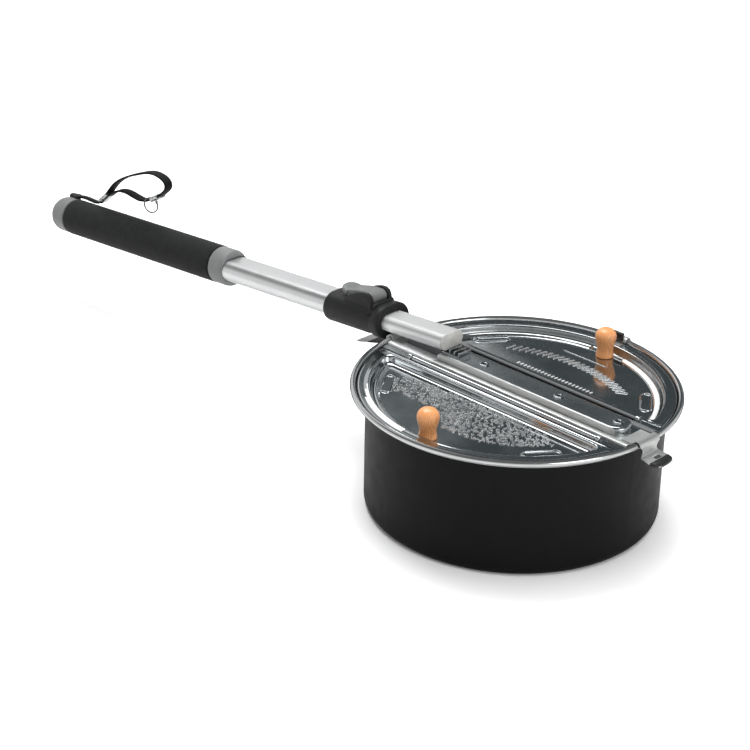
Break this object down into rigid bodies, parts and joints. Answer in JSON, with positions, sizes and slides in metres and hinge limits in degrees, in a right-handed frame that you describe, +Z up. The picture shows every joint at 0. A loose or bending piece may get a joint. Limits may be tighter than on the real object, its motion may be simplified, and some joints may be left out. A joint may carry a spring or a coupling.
{
  "type": "campfire popcorn popper",
  "caption": "Round black pan with a split, hinged lid on a bridge and a telescoping tube handle with flip lock, foam grip and wrist strap, for popping corn over a fire.",
  "frame": {"origin": "centre of the pan's flat base, on the floor", "axes": "+X along the lid's bridge, away from the handle; +Y across the bridge, towards the flap with the thumb latch; +Z up"},
  "size_m": [0.7126, 0.2556, 0.1506],
  "materials": {
    "pan_coat": "matte black coating",
    "rim_steel": "bright rolled bead",
    "lid_steel": "polished sheet",
    "bar_steel": "satin sheet",
    "block_metal": "satin cast",
    "spring_steel": "bright spring strip",
    "fittings": "bright",
    "dip": "dipped vinyl",
    "knob_wood": "turned, sealed",
    "tube_metal": "satin drawn tube",
    "plug_plastic": "satin",
    "bush_plastic": "satin",
    "lock_plastic": "fine grain",
    "lever_plastic": "satin",
    "foam": "soft foam",
    "cap_plastic": "satin",
    "webbing": "woven"
  },
  "bodies": {
    "pan": {"pan": "pan_coat", "pan_rim": "rim_steel"},
    "lid": {"bridge": "lid_steel", "front_hinge_pin": "fittings", "back_hinge_pin": "fittings", "spine_bar": "bar_steel", "bar_rivets": "fittings", "tube_block": "block_metal", "block_screws": "fittings", "tube_screws": "fittings", "tube_catch": "spring_steel", "near_clip": "spring_steel", "clip_root": "spring_steel", "inner_tube": "tube_metal", "tube_plug": "plug_plastic", "inner_bush": "bush_plastic"},
    "front_flap": {"front_flap": "lid_steel", "front_knob": "knob_wood", "front_knob_screw": "fittings"},
    "back_flap": {"back_flap": "lid_steel", "back_knob": "knob_wood", "back_knob_screw": "fittings", "latch_root": "spring_steel"},
    "rear_latch": {"rear_latch": "spring_steel", "latch_cover": "dip"},
    "far_clip": {"far_clip": "spring_steel", "clip_tip": "dip"},
    "handle": {"outer_tube": "tube_metal", "lock_body": "lock_plastic", "lever_pin": "fittings", "lock_shoe": "bush_plastic", "lock_screws": "fittings", "grip": "foam", "grip_collar": "cap_plastic", "end_cap": "cap_plastic", "strap_lead": "webbing", "strap_ferrule": "fittings", "strap_loop": "webbing", "ring_crimp": "fittings", "split_ring": "fittings"},
    "lever": {"lock_lever": "lever_plastic"}
  },
  "joints": [
    {"name": "lid_lift", "type": "slide", "parent": "pan", "child": "lid", "axis": [0, 0, 1], "range_m": [0, 0.15]},
    {"name": "front_flap_hinge", "type": "hinge", "parent": "lid", "child": "front_flap", "pos_m": [0, -0.023, 0.1], "axis": [-1, 0, 0], "range_deg": [0, 90]},
    {"name": "back_flap_hinge", "type": "hinge", "parent": "lid", "child": "back_flap", "pos_m": [0, 0.023, 0.1], "axis": [1, 0, 0], "range_deg": [0, 90]},
    {"name": "thumb_latch", "type": "hinge", "parent": "back_flap", "child": "rear_latch", "pos_m": [0, 0.1188, 0.09975], "axis": [1, 0, 0], "range_deg": [0, 8], "stiffness_Nm_per_rad": 0.6},
    {"name": "far_clip_spring", "type": "hinge", "parent": "lid", "child": "far_clip", "pos_m": [0.1205, 0, 0.09995], "axis": [0, -1, 0], "range_deg": [0, 8], "stiffness_Nm_per_rad": 2},
    {"name": "telescope", "type": "slide", "parent": "lid", "child": "handle", "axis": [-0.9972, 0, -0.075], "range_m": [0, 0.3]},
    {"name": "lever_hinge", "type": "hinge", "parent": "handle", "child": "lever", "pos_m": [-0.15157, 0, 0.12473], "axis": [0, 1, 0], "range_deg": [0, 100]}
  ]
}
